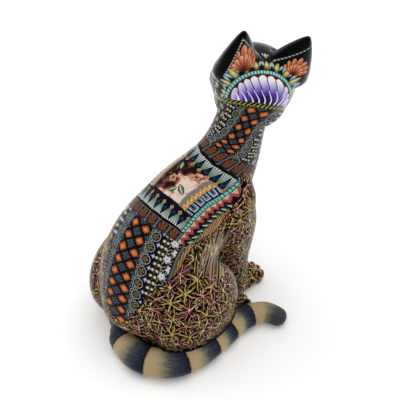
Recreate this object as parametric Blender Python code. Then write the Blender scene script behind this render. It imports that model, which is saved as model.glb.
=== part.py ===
"""Seated cat ornament in polymer clay, made in one piece.

The cat sits upright, turns its head over its left shoulder and curls its tail round its right side.
It faces -Y and its left is +X. Metres, +Z up, with the origin on the floor under the middle of the piece.
"""

from math import cos, pi, radians, sin

import bmesh
import bpy
from mathutils import Matrix, Vector

# Driving sizes
HEIGHT = 0.180  # floor to the higher ear tip
HEAD_WIDTH = 0.0502
HEAD_TURN = radians(51)  # over the cat's left shoulder
HEAD_TILT = radians(11)  # towards its right shoulder
HEAD_LIFT = radians(7)  # nose up
EAR_LENGTH = 0.0329  # from its root inside the head to the tip
EAR_WIDTH = 0.0256
TAIL_ROOT_RADIUS = 0.0090
TAIL_TIP_RADIUS = 0.0058
PAW_LENGTH = 0.0250
PAW_WIDTH = 0.0160
PAW_HEIGHT = 0.0125
TOE_COUNT = 4

# Finish of the solid
HEAD_GRID = 200  # steps of the melting grid over the height
BODY_GRID = 130
WHOLE_GRID = 180
BODY_SMOOTHING = 20
MOST_TRIANGLES = 9400
SIDES = 48

# Torso from rump to nape: right, forward, up, half width and half depth, as shares of HEIGHT
TORSO = (
    (0.000, 0.040, 0.100, 0.100, 0.074),
    (0.000, 0.091, 0.178, 0.144, 0.125),
    (-0.002, 0.153, 0.259, 0.173, 0.165),
    (-0.003, 0.229, 0.337, 0.167, 0.184),
    (0.008, 0.318, 0.415, 0.138, 0.178),
    (0.020, 0.418, 0.482, 0.116, 0.151),
    (0.033, 0.480, 0.556, 0.092, 0.123),
    (0.038, 0.524, 0.641, 0.078, 0.096),
    (0.030, 0.576, 0.728, 0.075, 0.080),
)
# Front leg from shoulder to paw, in the same five shares
FRONT_LEG = (
    (0.074, 0.412, 0.500, 0.034, 0.046),
    (0.090, 0.418, 0.430, 0.060, 0.080),
    (0.094, 0.430, 0.340, 0.066, 0.086),
    (0.092, 0.439, 0.250, 0.057, 0.070),
    (0.090, 0.443, 0.170, 0.049, 0.056),
    (0.096, 0.452, 0.083, 0.043, 0.047),
    (0.099, 0.458, 0.010, 0.042, 0.045),
)
LEG_LEAN = 0.035  # how far the chest and front legs shift to the right, over how high they are
# Tail on the floor from inside the rump to its tip: right and forward, as shares of HEIGHT
TAIL = (
    (-0.010, 0.090),
    (-0.018, 0.030),
    (0.032, 0.000),
    (0.088, -0.008),
    (0.148, 0.013),
    (0.195, 0.060),
    (0.216, 0.127),
    (0.222, 0.195),
    (0.222, 0.269),
    (0.222, 0.332),
    (0.234, 0.380),
    (0.256, 0.415),
    (0.280, 0.428),
    (0.300, 0.434),
)
HEAD_CENTRE = (0.028, 0.604, 0.773)
FRONT_PAW = (0.099, 0.500)
HIND_PAW = (0.156, 0.362)
EAR_LEAN = {1: (0.05, 26), -1: (0.22, 14)}  # left and right ear: outward lean, and turn in degrees
# An ear from root to tip: share of its length, half width and half depth as shares of EAR_WIDTH
EAR = (
    (0.00, 0.45, 0.34),
    (0.14, 0.54, 0.35),
    (0.38, 0.46, 0.28),
    (0.62, 0.33, 0.20),
    (0.84, 0.18, 0.13),
    (0.95, 0.09, 0.08),
    (1.00, 0.04, 0.05),
)


def at(left, forward, up):
    """A point by the cat's own directions."""
    return Vector((left, -forward, up))


def smooth_path(points, steps):
    """Points along a Catmull-Rom curve through points, which may hold any number of values."""
    ends = [points[0], *points, points[-1]]
    path = []
    for a, b, c, d in zip(ends, ends[1:], ends[2:], ends[3:]):
        for step in range(steps):
            t = step / steps
            path.append(
                tuple(
                    q + 0.5 * t * (r - p + t * (2 * p - 5 * q + 4 * r - s + t * (3 * (q - r) + s - p)))
                    for p, q, r, s in zip(a, b, c, d)
                )
            )
    path.append(tuple(points[-1]))
    return path


def loft(bm, rings, side):
    """Skins a closed tube through rings of (centre, half width along side, half depth across it)."""
    loops = []
    for index, (centre, half_width, half_depth) in enumerate(rings):
        before = rings[max(index - 1, 0)][0]
        after = rings[min(index + 1, len(rings) - 1)][0]
        along = (after - before).normalized()
        across = (side - side.project(along)).normalized()
        depth = along.cross(across)
        place = Matrix((across * half_width, depth * half_depth, along)).transposed().to_4x4()
        place.translation = centre
        loops.append(bmesh.ops.create_circle(bm, segments=SIDES, radius=1.0, matrix=place)["verts"])
    edge_loops = [list({edge for vert in loop for edge in vert.link_edges}) for loop in loops]
    for lower, upper in zip(edge_loops, edge_loops[1:]):
        bmesh.ops.bridge_loops(bm, edges=lower + upper)
    for loop in (loops[0], loops[-1]):
        bm.faces.new(loop)


def ball(bm, centre, radii, turn=None):
    """An ellipsoid with its radii along the cat's left, forward and up, turned about its centre."""
    place = Matrix.Translation(centre) @ (turn or Matrix.Identity(4)) @ Matrix.Diagonal((*radii, 1.0))
    bmesh.ops.create_uvsphere(bm, u_segments=SIDES, v_segments=SIDES // 2, radius=1.0, matrix=place)


def limb_rings(table, hand, lean=0.0):
    """Rings in metres from a table of right, forward, up, half width and half depth."""
    return [
        (at((lean * up - hand * right) * HEIGHT, forward * HEIGHT, up * HEIGHT), width * HEIGHT, depth * HEIGHT)
        for right, forward, up, width, depth in smooth_path(table, 4)
    ]


def add_body(bm):
    """Torso, belly, thighs and front legs, before they are melted together."""
    h = HEIGHT
    loft(bm, limb_rings(TORSO, 1), Vector((1, 0, 0)))
    ball(bm, at(0, 0.290 * h, 0.180 * h), (0.125 * h, 0.155 * h, 0.200 * h))
    ball(bm, at(0, 0.152 * h, 0.055 * h), (0.165 * h, 0.142 * h, 0.125 * h))
    thigh_lean = Matrix.Rotation(radians(-11), 4, "X")
    shoulder_lean = Matrix.Rotation(radians(25), 4, "X")
    for hand in (-1, 1):
        thigh = at(hand * 0.142 * h, 0.202 * h, 0.145 * h)
        ball(bm, thigh, (0.104 * h, 0.173 * h, 0.175 * h), thigh_lean)
        ball(bm, at(hand * 0.138 * h, 0.223 * h, 0.045 * h), (0.084 * h, 0.150 * h, 0.085 * h))
        ball(bm, at(hand * 0.155 * h, 0.345 * h, 0.024 * h), (0.044 * h, 0.095 * h, 0.048 * h))
        shoulder = at((hand * 0.100 - LEG_LEAN * 0.413) * h, 0.418 * h, 0.415 * h)
        ball(bm, shoulder, (0.060 * h, 0.080 * h, 0.110 * h), shoulder_lean)
        loft(bm, limb_rings(FRONT_LEG, hand, -LEG_LEAN), Vector((1, 0, 0)))


def add_paw(bm, centre):
    """A paw with its toes side by side at the front."""
    ball(bm, centre, (PAW_WIDTH * 0.50, PAW_LENGTH * 0.45, PAW_HEIGHT * 0.58))
    toe_width = PAW_WIDTH / TOE_COUNT
    for toe in range(TOE_COUNT):
        across = (toe - (TOE_COUNT - 1) / 2) * toe_width * 1.04
        reach = PAW_LENGTH * (0.35 - 0.45 * (across / PAW_WIDTH) ** 2)
        tip = centre + at(across, reach, -PAW_HEIGHT * 0.06)
        ball(bm, tip, (toe_width * 0.58, PAW_LENGTH * 0.19, PAW_HEIGHT * 0.44))


def add_tail(bm):
    path = smooth_path(TAIL, 3)
    rings = []
    for index, (right, forward) in enumerate(path):
        share = index / (len(path) - 1)
        radius = TAIL_ROOT_RADIUS + (TAIL_TIP_RADIUS - TAIL_ROOT_RADIUS) * share**1.6
        rings.append((at(-right * HEIGHT, forward * HEIGHT, radius * 0.92), radius, radius))
    tip, radius, _ = rings[-1]
    heading = (tip - rings[-2][0]).normalized()
    for step in (1, 2, 3, 4):
        turn = step * pi / 8
        girth = radius * (cos(turn) + 0.03)
        rings.append((tip + heading * radius * sin(turn), girth, girth))
    loft(bm, rings, Vector((0, 0, 1)))


def add_ear(bm, hand, share, forward):
    """An ear, or with a smaller share and a shift forward the hollow in its front, in the head's frame."""
    w = HEAD_WIDTH
    outward, turn = EAR_LEAN[hand]
    heading = at(hand * outward, -0.09, 1.0).normalized()
    foot = at(hand * 0.280 * w, -0.045 * w + forward, 0.145 * w)
    root = foot + heading * EAR_LENGTH * (1 - share) * 0.9
    tip = foot + heading * EAR_LENGTH * (1 - (1 - share) * 0.45)
    side = Matrix.Rotation(hand * radians(turn), 3, "Z") @ Vector((1, 0, 0))
    rings = [
        (root.lerp(tip, along), width * EAR_WIDTH * share, depth * EAR_WIDTH * share)
        for along, width, depth in smooth_path(EAR, 3)
    ]
    loft(bm, rings, side)


def as_object(bm, name):
    bmesh.ops.recalc_face_normals(bm, faces=bm.faces)
    mesh = bpy.data.meshes.new(name)
    bm.to_mesh(mesh)
    bm.free()
    obj = bpy.data.objects.new(name, mesh)
    bpy.context.scene.collection.objects.link(obj)
    return obj


def apply_modifiers(obj):
    """Replaces the object's mesh by what its modifiers make of it."""
    graph = bpy.context.evaluated_depsgraph_get()
    mesh = bpy.data.meshes.new_from_object(obj.evaluated_get(graph))
    obj.modifiers.clear()
    obj.data = mesh


def melt(obj, grid, smoothing):
    """Melts overlapping masses into one skin."""
    remesh = obj.modifiers.new("melt", "REMESH")
    remesh.mode = "VOXEL"
    remesh.voxel_size = HEIGHT / grid
    smooth = obj.modifiers.new("smooth", "SMOOTH")
    smooth.factor = 0.5
    smooth.iterations = smoothing
    apply_modifiers(obj)


def cut_away(obj, cutter):
    cut = obj.modifiers.new("cut", "BOOLEAN")
    cut.operation = "DIFFERENCE"
    cut.solver = "EXACT"
    cut.object = cutter
    apply_modifiers(obj)
    bpy.data.objects.remove(cutter)


def make_head():
    """Skull, cheeks, muzzle, eyes and ears, modelled facing forward and then turned."""
    w = HEAD_WIDTH
    bm = bmesh.new()
    ball(bm, at(0, 0, 0), (0.475 * w, 0.47 * w, 0.42 * w))
    ball(bm, at(0, -0.06 * w, -0.16 * w), (0.42 * w, 0.40 * w, 0.36 * w))
    ball(bm, at(0, 0.30 * w, 0.00 * w), (0.17 * w, 0.25 * w, 0.19 * w))
    ball(bm, at(0, 0.42 * w, -0.27 * w), (0.12 * w, 0.12 * w, 0.08 * w))
    for hand in (-1, 1):
        ball(bm, at(hand * 0.20 * w, 0.19 * w, -0.15 * w), (0.24 * w, 0.22 * w, 0.21 * w))
        ball(bm, at(hand * 0.085 * w, 0.43 * w, -0.17 * w), (0.13 * w, 0.14 * w, 0.11 * w))
        add_ear(bm, hand, 1.0, 0)
    head = as_object(bm, "head")
    melt(head, HEAD_GRID, 6)
    cutters = bmesh.new()
    for hand in (-1, 1):
        add_ear(cutters, hand, 0.78, 0.17 * EAR_WIDTH)
    ball(cutters, at(0, 0.59 * w, -0.235 * w), (0.10 * w, 0.07 * w, 0.016 * w))
    cut_away(head, as_object(cutters, "hollows"))
    bm = bmesh.new()
    for hand in (-1, 1):
        slant = Matrix.Rotation(hand * radians(-14), 4, "Y")
        ball(bm, at(hand * 0.195 * w, 0.345 * w, 0.010 * w), (0.125 * w, 0.095 * w, 0.092 * w), slant)
        ball(bm, at(hand * 0.195 * w, 0.330 * w, 0.055 * w), (0.135 * w, 0.110 * w, 0.075 * w), slant)
    ball(bm, at(0, 0.555 * w, -0.085 * w), (0.060 * w, 0.045 * w, 0.040 * w))
    bm.from_mesh(head.data)
    right, forward, up = HEAD_CENTRE
    place = Matrix.Translation(at(-right * HEIGHT, forward * HEIGHT, up * HEIGHT))
    place @= Matrix.Rotation(HEAD_TURN, 4, "Z") @ Matrix.Rotation(-HEAD_TILT, 4, "Y")
    place @= Matrix.Rotation(-HEAD_LIFT, 4, "X")
    bm.transform(place)
    bm.to_mesh(head.data)
    bm.free()
    return head


def clay():
    """Satin polished clay in the dark ground colour of the pattern."""
    material = bpy.data.materials.new("polished clay")
    material.use_nodes = True
    shader = material.node_tree.nodes["Principled BSDF"]
    shader.inputs["Base Color"].default_value = (0.075, 0.050, 0.035, 1.0)
    shader.inputs["Roughness"].default_value = 0.35
    return material


def stand_on_floor(cat):
    """Cuts the underside flat and sets the piece over the origin."""
    floor = bmesh.new()
    place = Matrix.Translation((0, 0, -HEIGHT)) @ Matrix.Scale(2 * HEIGHT, 4)
    bmesh.ops.create_cube(floor, size=1.0, matrix=place)
    cut_away(cat, as_object(floor, "floor"))
    bm = bmesh.new()
    bm.from_mesh(cat.data)
    bmesh.ops.remove_doubles(bm, verts=bm.verts, dist=0.00005)
    for axis in (0, 1):
        places = [vert.co[axis] for vert in bm.verts]
        middle = (min(places) + max(places)) / 2
        for vert in bm.verts:
            vert.co[axis] -= middle
    bm.to_mesh(cat.data)
    bm.free()


def build():
    for obj in list(bpy.data.objects):
        bpy.data.objects.remove(obj)
    bm = bmesh.new()
    add_body(bm)
    cat = as_object(bm, "cat")
    melt(cat, BODY_GRID, BODY_SMOOTHING)
    head = make_head()
    bm = bmesh.new()
    for hand in (-1, 1):
        for right, forward in (FRONT_PAW, HIND_PAW):
            add_paw(bm, at(hand * right * HEIGHT, forward * HEIGHT, PAW_HEIGHT * 0.45))
    add_tail(bm)
    bm.from_mesh(cat.data)
    bm.from_mesh(head.data)
    bpy.data.objects.remove(head)
    bm.to_mesh(cat.data)
    bm.free()
    melt(cat, WHOLE_GRID, 3)
    triangles = sum(len(face.vertices) - 2 for face in cat.data.polygons)
    thin = cat.modifiers.new("thin", "DECIMATE")
    thin.ratio = MOST_TRIANGLES / triangles
    apply_modifiers(cat)
    stand_on_floor(cat)
    cat.data.materials.clear()
    cat.data.materials.append(clay())


build()
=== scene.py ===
"""Seated cat in patterned polymer clay: its finished look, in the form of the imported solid.

The cat faces -Y and its left is +X. Metres, +Z up. Pattern maps are in millimetres.
"""

from math import cos, pi, radians, sin

import bmesh
import bpy
import numpy as np
from mathutils import Matrix, Vector


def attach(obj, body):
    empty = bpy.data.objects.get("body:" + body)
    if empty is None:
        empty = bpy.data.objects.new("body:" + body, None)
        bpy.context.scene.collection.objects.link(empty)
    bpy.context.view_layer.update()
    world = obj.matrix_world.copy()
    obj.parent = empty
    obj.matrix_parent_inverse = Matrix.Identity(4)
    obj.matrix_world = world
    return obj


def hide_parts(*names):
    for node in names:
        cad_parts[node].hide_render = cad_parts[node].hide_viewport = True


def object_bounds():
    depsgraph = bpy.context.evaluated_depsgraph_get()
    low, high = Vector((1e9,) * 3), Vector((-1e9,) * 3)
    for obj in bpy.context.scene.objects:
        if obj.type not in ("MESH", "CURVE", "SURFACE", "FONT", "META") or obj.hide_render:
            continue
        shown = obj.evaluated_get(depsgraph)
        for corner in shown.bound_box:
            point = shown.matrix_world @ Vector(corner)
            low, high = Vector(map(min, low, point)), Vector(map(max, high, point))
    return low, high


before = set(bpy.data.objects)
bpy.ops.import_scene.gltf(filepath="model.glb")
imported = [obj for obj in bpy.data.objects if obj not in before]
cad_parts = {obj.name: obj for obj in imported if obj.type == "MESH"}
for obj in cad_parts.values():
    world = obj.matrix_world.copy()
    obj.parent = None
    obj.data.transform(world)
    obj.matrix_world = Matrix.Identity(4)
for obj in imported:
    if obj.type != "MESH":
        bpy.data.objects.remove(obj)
solid_low, solid_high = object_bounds()

# Driving sizes, as in the solid
HEIGHT = 0.180
HEAD_WIDTH = 0.0502
HEAD_TURN = radians(51)
HEAD_TILT = radians(11)
HEAD_LIFT = radians(7)
EAR_LENGTH = 0.0329
EAR_WIDTH = 0.0256
TAIL_ROOT_RADIUS = 0.0090
TAIL_TIP_RADIUS = 0.0058
PAW_LENGTH = 0.0250
PAW_WIDTH = 0.0160
PAW_HEIGHT = 0.0125
TOE_COUNT = 4

# Fineness of the skin: grid cells to the cat's height, rounds of smoothing, sides of a tube
HEAD_GRID = 330
BODY_GRID = 150
WHOLE_GRID = 250
BODY_SMOOTHING = 26
SIDES = 64

# Torso from rump to nape and leg from shoulder to paw, as shares of HEIGHT: right, forward, up, half
# width and half depth
TORSO = (
    (0.000, 0.040, 0.100, 0.100, 0.074), (0.000, 0.091, 0.178, 0.144, 0.125),
    (-0.002, 0.153, 0.259, 0.173, 0.165), (-0.003, 0.229, 0.337, 0.167, 0.184),
    (0.008, 0.318, 0.415, 0.138, 0.178), (0.020, 0.418, 0.482, 0.116, 0.151),
    (0.033, 0.480, 0.556, 0.092, 0.123), (0.038, 0.524, 0.641, 0.078, 0.096),
    (0.030, 0.576, 0.728, 0.075, 0.080),
)
FRONT_LEG = (
    (0.074, 0.412, 0.500, 0.034, 0.046), (0.090, 0.418, 0.430, 0.060, 0.080),
    (0.094, 0.430, 0.340, 0.066, 0.086), (0.092, 0.439, 0.250, 0.057, 0.070),
    (0.090, 0.443, 0.170, 0.049, 0.056), (0.096, 0.452, 0.083, 0.043, 0.047),
    (0.099, 0.458, 0.010, 0.042, 0.045),
)
LEG_LEAN = 0.035
# Tail from root to tip, head and paws: right and forward, and up for the head
TAIL = (
    (-0.010, 0.090), (-0.018, 0.030), (0.032, 0.000), (0.088, -0.008), (0.148, 0.013),
    (0.195, 0.060), (0.216, 0.127), (0.222, 0.195), (0.222, 0.269), (0.222, 0.332), (0.234, 0.380),
    (0.256, 0.415), (0.280, 0.428), (0.300, 0.434),
)
HEAD_CENTRE = (0.028, 0.604, 0.773)
FRONT_PAW = (0.099, 0.500)
HIND_PAW = (0.156, 0.362)
# Outward lean and turn of the left (1) and right (-1) ear
EAR_LEAN = {1: (0.05, 26), -1: (0.22, 14)}
# Rings of an ear: share of its length, half width and half depth as shares of its width
EAR = (
    (0.00, 0.45, 0.34), (0.14, 0.54, 0.35), (0.38, 0.46, 0.28), (0.62, 0.33, 0.20),
    (0.84, 0.18, 0.13), (0.95, 0.09, 0.08), (1.00, 0.04, 0.05),
)

# Balls that melt together: centre (left, forward, up), radii and lean in degrees, as shares of a size
TRUNK = (
    ((0, 0.290, 0.180), (0.125, 0.155, 0.200), 0),
    ((0, 0.152, 0.055), (0.165, 0.142, 0.125), 0),
)
HAUNCH = (
    ((0.142, 0.202, 0.145), (0.104, 0.173, 0.175), -11),
    ((0.138, 0.223, 0.045), (0.084, 0.150, 0.085), 0),
    ((0.155, 0.345, 0.024), (0.044, 0.095, 0.048), 0),
)
SKULL = (
    ((0, 0, 0), (0.475, 0.47, 0.42), 0),
    ((0, -0.06, -0.16), (0.42, 0.40, 0.36), 0),
    ((0, 0.30, 0.00), (0.17, 0.25, 0.19), 0),
    ((0, 0.42, -0.27), (0.12, 0.12, 0.08), 0),
)
CHEEK = (
    ((0.20, 0.19, -0.15), (0.24, 0.22, 0.21), 0),
    ((0.085, 0.43, -0.17), (0.13, 0.14, 0.11), 0),
)
MOUTH = (((0, 0.59, -0.235), (0.10, 0.07, 0.016), 0),)
EYE = (
    ((0.195, 0.345, 0.010), (0.125, 0.095, 0.092), -14),
    ((0.195, 0.330, 0.055), (0.135, 0.110, 0.075), -14),
)
NOSE = (((0, 0.555, -0.085), (0.060, 0.045, 0.040), 0),)

# Pattern layout in millimetres. By the way along the back line: how far round from the line the pattern's
# middle lies, how much narrower it is drawn, its place in the rows, and the way round to the saddle's edges
TWIST = (
    (0, -1), (60, -1), (78, 0), (100, 0), (121, 2), (130.5, 7.5), (137.5, 11.3), (143, 12.6), (148, 13.5),
    (160, 14.8),
)
NARROWING = ((0, 1), (121, 1), (131, 0.95), (134, 1.08), (137.5, 1.3), (148, 1.4), (160, 1.5))
ROWS = (
    (0, 0), (127.5, 127.5), (130.7, 135.5), (133.6, 143), (137.5, 150.5), (143.3, 158), (148.7, 165.5),
    (154.8, 173), (161, 180.5),
)
RIGHT_BORDER = (
    (0, 3), (12, 8), (18, 12.6), (25, 14.9), (32, 17.1), (39, 21.8), (46, 27.1), (50, 30), (57, 32.1),
    (64, 32.8), (70, 33.3), (77.5, 34.4), (83, 37.5), (89, 41.8), (98, 42), (107, 39.6), (110.7, 36.2),
    (115.6, 33.4), (119.3, 28.5), (121.5, 28), (122, 90), (200, 90),
)
LEFT_BORDER = (
    (0, 2), (9.5, 4.6), (15, 8), (22, 12), (30, 14), (47, 14.5), (55, 20), (64, 27), (75, 33), (90, 40),
    (107, 39), (112, 34), (117, 31), (121, 28), (122, 90), (200, 90),
)
# Height of a row, start of the lace, upper end of the panel, and width of a skirt in it
ROW = 7.5
LACE = 21.3
PANEL_TOP = 121.9
SKIRT = 5.95
# Leaves: across, along, turn and reach. Blossoms: across, along and size
PICTURE_LEAVES = ((6.6, 97.6, -0.6, 3.4), (1.8, 95.4, 0.9, 2.7), (-6.2, 108.6, 2.3, 2.9))
PICTURE_BLOSSOMS = ((-3.4, 100.6, 2.3), (6.4, 109.4, 2.0))
# Rings of buds on the head: degrees from bud to bud, radius and size
BUD_RINGS = ((18.0, 26.8, 1.0), (15.0, 34.0, 0.8))
# The fan below them, and where the bands of the tail start
FAN_RADIUS = 20.2
TAIL_BANDS = (18, 37, 58.5, 79, 94.5, 112)

# Where the skin is cut, in millimetres: depth in the tail, way along it, and way inside the saddle
TAIL_EDGE = -0.5
TAIL_START = 6
SADDLE_EDGE = -0.8

# Spacing of the star web in metres, and its creases: centre with x to both sides, and radii
STAR_SPACING = 0.0112
CREASE = (0.030, -0.050, 0.0605)
CREASE_RADII = (0.014, 0.011, 0.0105)
# How many places are compared at a time, which bounds the memory
BATCH = 20000

# Paints, and rows of paints that run into each other, each with its place on the way
WEB_ROSE = "c0727a"
WEB_GOLD = "cdb65a"
WEB_PALE = "efe0aa"
WEB_HOLE = "030202"
NET_PAINTS = ((0.3, "74403c"), (0.42, "a86a68"), (0.5, "5c4024"), (0.56, "b09a58"), (0.64, "efe0aa"))
CREASE_PAINTS = (
    (0.34, "9a6a60"), (0.4, "050202"), (0.46, "d8cf94"), (0.5, "0a0503"), (0.55, "c9a184"), (0.61, "050202"),
)
MARBLE_PAINTS = ((0.08, "150a0b"), (0.34, "331613"), (0.5, "96523c"), (0.66, "d8a892"), (0.9, "ecd0c2"))
FEATHER_PAINTS = (
    (0.0, "060403"), (0.2, "2e2812"), (0.42, "8b7230"), (0.6, "c08a42"), (0.78, "a85a28"), (1.0, "e0d4ac"),
)
PETAL_PAINTS = (
    (0.1, "10060a"), (0.3, "4a1812"), (0.48, "b04a2a"), (0.68, "e07c46"), (0.84, "f2ab80"), (0.95, "fff2e4"),
)
FAN_PAINTS = (
    (0.12, "0c0614"), (0.32, "2f1a66"), (0.5, "5a40a6"), (0.66, "9c8bd6"), (0.8, "d6ceee"), (0.93, "fbf8ff"),
)
BAND_PAINTS = (
    (0.0, "1d120e"), (0.035, "1d120e"), (0.07, "bda079"), (0.3, "b7a37e"), (0.46, "8e876f"), (0.6, "4c5152"),
    (0.8, "2a3242"), (1.0, "1e2432"),
)

# Setting. The camera has its way from the point it looks at, that point, the distance and the lens in mm
CAMERA_WAY = (-0.49058, 0.55713, 0.67003)
CAMERA_AIM = (0.00774, -0.00747, 0.07331)
CAMERA_AWAY = 0.71309
CAMERA_LENS = 110.48
FLOOR_SIZE = 30.0
FLOOR_DROP = 0.0002


def at(left, forward, up):
    """A point by the cat's own directions."""
    return Vector((left, -forward, up))


def smooth_path(points, steps):
    """Points along a Catmull-Rom curve through points, which may hold any number of values."""
    ends = [points[0], *points, points[-1]]
    path = []
    for a, b, c, d in zip(ends, ends[1:], ends[2:], ends[3:]):
        for step in range(steps):
            t = step / steps
            path.append(
                tuple(
                    q + 0.5 * t * (r - p + t * (2 * p - 5 * q + 4 * r - s + t * (3 * (q - r) + s - p)))
                    for p, q, r, s in zip(a, b, c, d)
                )
            )
    path.append(tuple(points[-1]))
    return path


# Shape


def add_shape(bm, shape, place=None):
    """Adds a finished shape to others, which is quicker than making it among them."""
    mesh = bpy.data.meshes.new("shape")
    shape.to_mesh(mesh)
    shape.free()
    if place:
        mesh.transform(place)
    bm.from_mesh(mesh)
    bpy.data.meshes.remove(mesh)


def loft(whole, rings, side):
    """Skins a closed tube through rings of (centre, half width along side, half depth across it)."""
    bm = bmesh.new()
    loops = []
    for index, (centre, half_width, half_depth) in enumerate(rings):
        before = rings[max(index - 1, 0)][0]
        after = rings[min(index + 1, len(rings) - 1)][0]
        along = (after - before).normalized()
        across = (side - side.project(along)).normalized()
        depth = along.cross(across)
        place = Matrix((across * half_width, depth * half_depth, along)).transposed().to_4x4()
        place.translation = centre
        loops.append(bmesh.ops.create_circle(bm, segments=SIDES, radius=1.0, matrix=place)["verts"])
    edge_loops = [list({edge for vert in loop for edge in vert.link_edges}) for loop in loops]
    for lower, upper in zip(edge_loops, edge_loops[1:]):
        bmesh.ops.bridge_loops(bm, edges=lower + upper)
    for loop in (loops[0], loops[-1]):
        bm.faces.new(loop)
    add_shape(whole, bm)


def ball(bm, centre, radii, turn):
    """An ellipsoid with its radii along the cat's left, forward and up, turned about its centre."""
    place = Matrix.Translation(centre) @ turn @ Matrix.Diagonal((*radii, 1.0))
    shape = bmesh.new()
    bmesh.ops.create_uvsphere(shape, u_segments=SIDES, v_segments=SIDES // 2, radius=1.0)
    add_shape(bm, shape, place)


def add_balls(bm, balls, size, hand=1, axis="X"):
    """The balls of a table. Those that lean about Y lean the other way on the right."""
    for (left, forward, up), radii, lean in balls:
        turn = Matrix.Rotation(radians(lean) * (hand if axis == "Y" else 1), 4, axis)
        centre = at(hand * left * size, forward * size, up * size)
        ball(bm, centre, [radius * size for radius in radii], turn)


def limb_rings(limb, hand, lean=0.0):
    """Rings for loft from a table of right, forward, up, half width and half depth."""
    h = HEIGHT
    return [
        (at((lean * up - hand * right) * h, forward * h, up * h), width * h, depth * h)
        for right, forward, up, width, depth in smooth_path(limb, 4)
    ]


def add_body(bm):
    h = HEIGHT
    loft(bm, limb_rings(TORSO, 1), Vector((1, 0, 0)))
    add_balls(bm, TRUNK, h)
    for hand in (-1, 1):
        add_balls(bm, HAUNCH, h, hand)
        shoulder = at((hand * 0.100 - LEG_LEAN * 0.413) * h, 0.418 * h, 0.415 * h)
        ball(bm, shoulder, (0.060 * h, 0.080 * h, 0.110 * h), Matrix.Rotation(radians(25), 4, "X"))
        loft(bm, limb_rings(FRONT_LEG, hand, -LEG_LEAN), Vector((1, 0, 0)))


def add_paw(bm, centre):
    level = Matrix.Identity(4)
    ball(bm, centre, (PAW_WIDTH * 0.50, PAW_LENGTH * 0.45, PAW_HEIGHT * 0.58), level)
    toe_width = PAW_WIDTH / TOE_COUNT
    for toe in range(TOE_COUNT):
        across = (toe - (TOE_COUNT - 1) / 2) * toe_width * 1.04
        reach = PAW_LENGTH * (0.35 - 0.45 * (across / PAW_WIDTH) ** 2)
        tip = centre + at(across, reach, -PAW_HEIGHT * 0.06)
        ball(bm, tip, (toe_width * 0.58, PAW_LENGTH * 0.19, PAW_HEIGHT * 0.44), level)


def tail_line(steps):
    """Centres and radii along the tail."""
    path = smooth_path(TAIL, steps)
    line = []
    for index, (right, forward) in enumerate(path):
        share = index / (len(path) - 1)
        radius = TAIL_ROOT_RADIUS + (TAIL_TIP_RADIUS - TAIL_ROOT_RADIUS) * share**1.6
        line.append((at(-right * HEIGHT, forward * HEIGHT, radius * 0.92), radius))
    return line


def add_tail(bm):
    rings = [(centre, radius, radius) for centre, radius in tail_line(3)]
    tip, radius, _ = rings[-1]
    heading = (tip - rings[-2][0]).normalized()
    for step in (1, 2, 3, 4):
        turn = step * pi / 8
        girth = radius * (cos(turn) + 0.03)
        rings.append((tip + heading * radius * sin(turn), girth, girth))
    loft(bm, rings, Vector((0, 0, 1)))


def ear_axes(hand):
    """Foot, heading and side of an ear in the head's frame."""
    w = HEAD_WIDTH
    outward, turn = EAR_LEAN[hand]
    heading = at(hand * outward, -0.09, 1.0).normalized()
    side = Matrix.Rotation(hand * radians(turn), 3, "Z") @ Vector((1, 0, 0))
    return at(hand * 0.280 * w, -0.045 * w, 0.145 * w), heading, side


def add_ear(bm, hand, share, forward):
    foot, heading, side = ear_axes(hand)
    foot = foot + at(0, forward, 0)
    root = foot + heading * EAR_LENGTH * (1 - share) * 0.9
    tip = foot + heading * EAR_LENGTH * (1 - (1 - share) * 0.45)
    rings = [
        (root.lerp(tip, along), width * EAR_WIDTH * share, depth * EAR_WIDTH * share)
        for along, width, depth in smooth_path(EAR, 4)
    ]
    loft(bm, rings, side)


def add_object(name, data):
    obj = bpy.data.objects.new(name, data)
    bpy.context.scene.collection.objects.link(obj)
    return obj


def as_object(bm, name):
    bmesh.ops.recalc_face_normals(bm, faces=bm.faces)
    mesh = bpy.data.meshes.new(name)
    bm.to_mesh(mesh)
    bm.free()
    return add_object(name, mesh)


def apply_modifiers(obj):
    graph = bpy.context.evaluated_depsgraph_get()
    mesh = bpy.data.meshes.new_from_object(obj.evaluated_get(graph))
    obj.modifiers.clear()
    obj.data = mesh


def melt(obj, grid, smoothing):
    """Melts overlapping masses into one skin."""
    remesh = obj.modifiers.new("melt", "REMESH")
    remesh.mode = "VOXEL"
    remesh.voxel_size = HEIGHT / grid
    smooth = obj.modifiers.new("smooth", "SMOOTH")
    smooth.factor = 0.5
    smooth.iterations = smoothing
    apply_modifiers(obj)


def cut_away(obj, cutter):
    cut = obj.modifiers.new("cut", "BOOLEAN")
    cut.operation = "DIFFERENCE"
    cut.solver = "EXACT"
    cut.object = cutter
    apply_modifiers(obj)
    bpy.data.objects.remove(cutter)


def head_place():
    right, forward, up = HEAD_CENTRE
    place = Matrix.Translation(at(-right * HEIGHT, forward * HEIGHT, up * HEIGHT))
    place @= Matrix.Rotation(HEAD_TURN, 4, "Z") @ Matrix.Rotation(-HEAD_TILT, 4, "Y")
    return place @ Matrix.Rotation(-HEAD_LIFT, 4, "X")


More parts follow.
